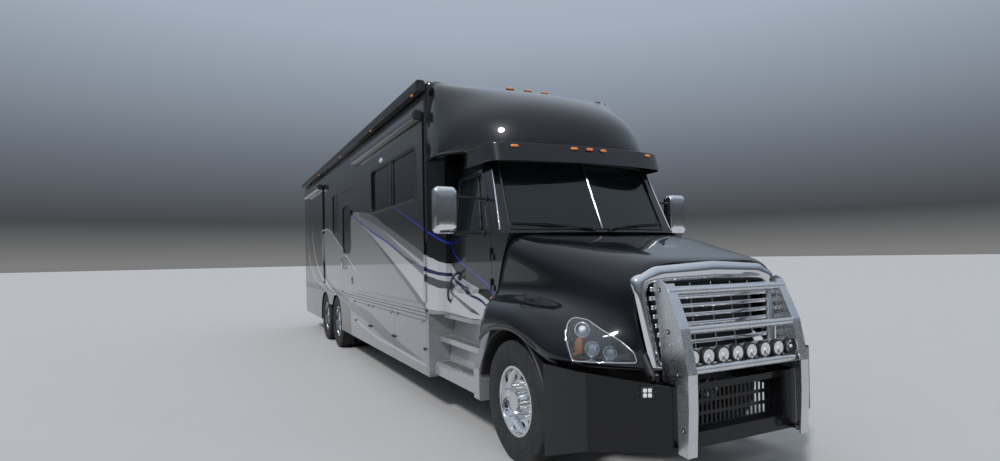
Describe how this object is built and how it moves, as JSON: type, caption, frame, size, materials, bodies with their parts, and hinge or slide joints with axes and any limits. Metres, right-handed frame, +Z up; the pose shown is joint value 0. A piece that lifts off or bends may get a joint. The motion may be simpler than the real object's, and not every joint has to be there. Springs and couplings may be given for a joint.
{
  "type": "motorhome on a heavy conventional-cab truck chassis",
  "caption": "Long hollow motorhome body with slide-out rooms behind a truck cab with tilting hood, barred grille, folding front guard, steered front wheels and twin rear wheels.",
  "frame": {"origin": "on the ground, halfway along and across the vehicle", "axes": "+Z up, +Y towards the rear, +X towards the driver's side"},
  "size_m": [3.155, 13.72, 4.05],
  "materials": {
    "black_paint": "gloss",
    "silver_paint": "gloss",
    "frame_black": "satin",
    "tyre": "matte",
    "polished_rim": "polished",
    "chrome": "polished",
    "guard_alloy": "polished",
    "glass": "polished",
    "lamp_glass": "polished",
    "dark_plastic": "matte",
    "trim_plastic": "satin",
    "roof_white": "satin",
    "cast": "matte",
    "bright_panel": "satin",
    "floor_board": "satin",
    "seat_cover": "woven"
  },
  "bodies": {
    "chassis": {"frame_rails": "frame_black", "axles": "cast", "engine_block": "cast", "radiator": "frame_black", "cab_shell": "black_paint", "windshield": "glass", "cab_interior": "seat_cover", "roof_cap": "black_paint", "sun_visor": "black_paint", "box_walls": "black_paint", "box_windows": "glass", "box_roof": "roof_white", "box_floor": "floor_board", "front_wall": "silver_paint", "rear_wall": "black_paint", "lower_skirts": "silver_paint", "luggage_bays": "frame_black", "cab_steps": "bright_panel", "bumper": "dark_plastic", "roof_units": "roof_white", "patio_awning": "trim_plastic", "rear_hitch": "frame_black"},
    "hood": {"hood": "black_paint", "headlamps": "lamp_glass", "grille_surround": "chrome", "grille": "chrome"},
    "guard": {"guard": "guard_alloy"},
    "knuckle_right": {"knuckle_right": "cast"},
    "knuckle_left": {"knuckle_left": "cast"},
    "front_wheel_right": {"front_tyre_right": "tyre", "front_rim_right": "polished_rim"},
    "front_wheel_left": {"front_tyre_left": "tyre", "front_rim_left": "polished_rim"},
    "cab_door_right": {"cab_door_right": "black_paint", "cab_door_glass_right": "glass", "mirror_right": "chrome"},
    "cab_door_left": {"cab_door_left": "black_paint", "cab_door_glass_left": "glass", "mirror_left": "chrome"},
    "entry_door": {"entry_door": "black_paint", "entry_glass": "glass"},
    "slide_front": {"slide_front": "black_paint", "slide_front_glass": "glass"},
    "slide_rear": {"slide_rear": "black_paint"},
    "slide_left": {"slide_left": "black_paint", "slide_left_glass": "glass"},
    "rear_wheels_1_right": {"rear_tyres_1_right": "tyre", "rear_rims_1_right": "polished_rim"},
    "rear_wheels_2_right": {"rear_tyres_2_right": "tyre", "rear_rims_2_right": "polished_rim"},
    "rear_wheels_1_left": {"rear_tyres_1_left": "tyre", "rear_rims_1_left": "polished_rim"},
    "rear_wheels_2_left": {"rear_tyres_2_left": "tyre", "rear_rims_2_left": "polished_rim"},
    "luggage_door_right_1": {"luggage_door_right_1": "silver_paint"},
    "luggage_door_right_2": {"luggage_door_right_2": "silver_paint"},
    "luggage_door_right_3": {"luggage_door_right_3": "silver_paint"},
    "luggage_door_left_1": {"luggage_door_left_1": "silver_paint"},
    "luggage_door_left_2": {"luggage_door_left_2": "silver_paint"}
  },
  "joints": [
    {"name": "steer_left", "type": "hinge", "parent": "chassis", "child": "knuckle_left", "pos_m": [0.93, -5.36, 0.525], "axis": [0, 0, 1], "range_deg": [-38, 38]},
    {"name": "steer_right", "type": "hinge", "parent": "chassis", "child": "knuckle_right", "pos_m": [-0.93, -5.36, 0.525], "axis": [0, 0, 1], "range_deg": [-38, 38]},
    {"name": "front_wheel_left_spin", "type": "hinge", "parent": "knuckle_left", "child": "front_wheel_left", "pos_m": [1.046, -5.36, 0.525], "axis": [1, 0, 0], "continuous": true},
    {"name": "rear_wheels_1_left_spin", "type": "hinge", "parent": "chassis", "child": "rear_wheels_1_left", "pos_m": [0.9605, 2.342, 0.525], "axis": [1, 0, 0], "continuous": true},
    {"name": "rear_wheels_2_left_spin", "type": "hinge", "parent": "chassis", "child": "rear_wheels_2_left", "pos_m": [0.9605, 3.688, 0.525], "axis": [1, 0, 0], "continuous": true},
    {"name": "front_wheel_right_spin", "type": "hinge", "parent": "knuckle_right", "child": "front_wheel_right", "pos_m": [-1.046, -5.36, 0.525], "axis": [1, 0, 0], "continuous": true},
    {"name": "rear_wheels_1_right_spin", "type": "hinge", "parent": "chassis", "child": "rear_wheels_1_right", "pos_m": [-0.9605, 2.342, 0.525], "axis": [1, 0, 0], "continuous": true},
    {"name": "rear_wheels_2_right_spin", "type": "hinge", "parent": "chassis", "child": "rear_wheels_2_right", "pos_m": [-0.9605, 3.688, 0.525], "axis": [1, 0, 0], "continuous": true},
    {"name": "guard_fold", "type": "hinge", "parent": "chassis", "child": "guard", "pos_m": [0, -6.8, 0.42], "axis": [1, 0, 0], "range_deg": [0, 80]},
    {"name": "hood_tilt", "type": "hinge", "parent": "chassis", "child": "hood", "pos_m": [0, -6.6, 0.9], "axis": [1, 0, 0], "range_deg": [0, 70]},
    {"name": "cab_door_left_hinge", "type": "hinge", "parent": "chassis", "child": "cab_door_left", "pos_m": [1.062, -4.7, 1.6], "axis": [0, 0, -1], "range_deg": [0, 70]},
    {"name": "cab_door_right_hinge", "type": "hinge", "parent": "chassis", "child": "cab_door_right", "pos_m": [-1.062, -4.7, 1.6], "axis": [0, 0, 1], "range_deg": [0, 70]},
    {"name": "entry_door_hinge", "type": "hinge", "parent": "chassis", "child": "entry_door", "pos_m": [-1.297, 0.744, 2], "axis": [0, 0, 1], "range_deg": [0, 95]},
    {"name": "slide_front_out", "type": "slide", "parent": "chassis", "child": "slide_front", "axis": [-1, 0, 0], "range_m": [0, 0.65]},
    {"name": "slide_rear_out", "type": "slide", "parent": "chassis", "child": "slide_rear", "axis": [-1, 0, 0], "range_m": [0, 0.65]},
    {"name": "slide_left_out", "type": "slide", "parent": "chassis", "child": "slide_left", "axis": [1, 0, 0], "range_m": [0, 0.65]},
    {"name": "luggage_door_right_1_hinge", "type": "hinge", "parent": "chassis", "child": "luggage_door_right_1", "pos_m": [-1.293, -2.6925, 1.043], "axis": [0, 1, 0], "range_deg": [0, 88]},
    {"name": "luggage_door_right_2_hinge", "type": "hinge", "parent": "chassis", "child": "luggage_door_right_2", "pos_m": [-1.293, -1.305, 1.043], "axis": [0, 1, 0], "range_deg": [0, 88]},
    {"name": "luggage_door_right_3_hinge", "type": "hinge", "parent": "chassis", "child": "luggage_door_right_3", "pos_m": [-1.293, 0.0575, 1.043], "axis": [0, 1, 0], "range_deg": [0, 88]},
    {"name": "luggage_door_left_1_hinge", "type": "hinge", "parent": "chassis", "child": "luggage_door_left_1", "pos_m": [1.293, -2.3575, 1.043], "axis": [0, -1, 0], "range_deg": [0, 88]},
    {"name": "luggage_door_left_2_hinge", "type": "hinge", "parent": "chassis", "child": "luggage_door_left_2", "pos_m": [1.293, -0.3025, 1.043], "axis": [0, -1, 0], "range_deg": [0, 88]}
  ],
  "couplings": [
    {"joint": "steer_right", "follows": "steer_left", "ratio": 1},
    {"joint": "guard_fold", "follows": "hood_tilt", "ratio": 1.14}
  ]
}
